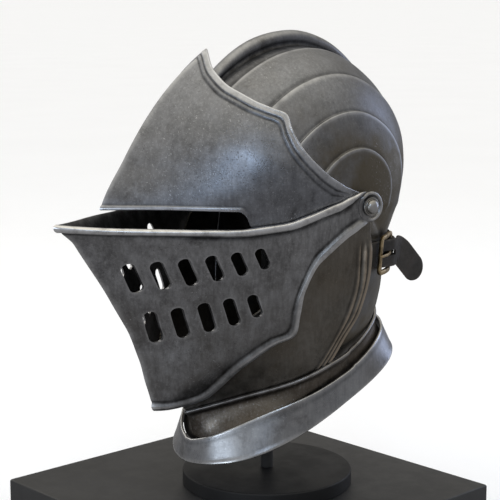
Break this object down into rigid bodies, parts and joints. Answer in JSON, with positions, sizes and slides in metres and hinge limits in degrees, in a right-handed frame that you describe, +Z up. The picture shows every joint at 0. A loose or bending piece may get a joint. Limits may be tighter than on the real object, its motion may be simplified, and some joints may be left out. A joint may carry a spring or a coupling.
{
  "type": "armet on a display stand",
  "caption": "Steel armet with comb, lifting visor and prowed ventail, bevor, gorget lames and a buckled nape strap, carried by a post on a dark disc and plinth.",
  "frame": {"origin": "on the plinth's underside, in the helmet's medial plane, 53 mm in front of its pivot axis", "axes": "+Z up, the helmet faces -Y, the wearer's left is +X"},
  "size_m": [0.3088, 0.3356, 0.4104],
  "materials": {
    "skull_steel": "dark burnished, worn and pitted",
    "bevor_steel": "dark burnished with brown patina",
    "visor_steel": "dark burnished, worn and pitted",
    "ventail_steel": "dark burnished, worn edges",
    "gorget_steel": "burnished, brighter on the lower lame",
    "bolt_steel": "burnished",
    "strap_leather": "dark, worn",
    "buckle_brass": "aged, dull",
    "stand_post_black": "matte",
    "stand_board_black": "matte charcoal paint"
  },
  "bodies": {
    "helmet": {"skull": "skull_steel", "bevor": "bevor_steel", "gorget_upper": "gorget_steel", "gorget_lower": "gorget_steel", "pivot_left": "bolt_steel", "pivot_right": "bolt_steel", "strap_nape": "strap_leather", "strap_front": "strap_leather", "buckle_frame": "buckle_brass", "buckle_tongue": "buckle_brass", "stand_post": "stand_post_black", "stand_disc": "stand_board_black", "stand_plinth": "stand_board_black"},
    "ventail": {"ventail": "ventail_steel"},
    "visor": {"visor": "visor_steel"}
  },
  "joints": [
    {"name": "ventail_lift", "type": "hinge", "parent": "helmet", "child": "ventail", "pos_m": [0, 0.053, 0.28], "axis": [-1, 0, 0], "range_deg": [0, 60]},
    {"name": "visor_lift", "type": "hinge", "parent": "ventail", "child": "visor", "pos_m": [0, 0.053, 0.28], "axis": [-1, 0, 0], "range_deg": [0, 60]}
  ]
}
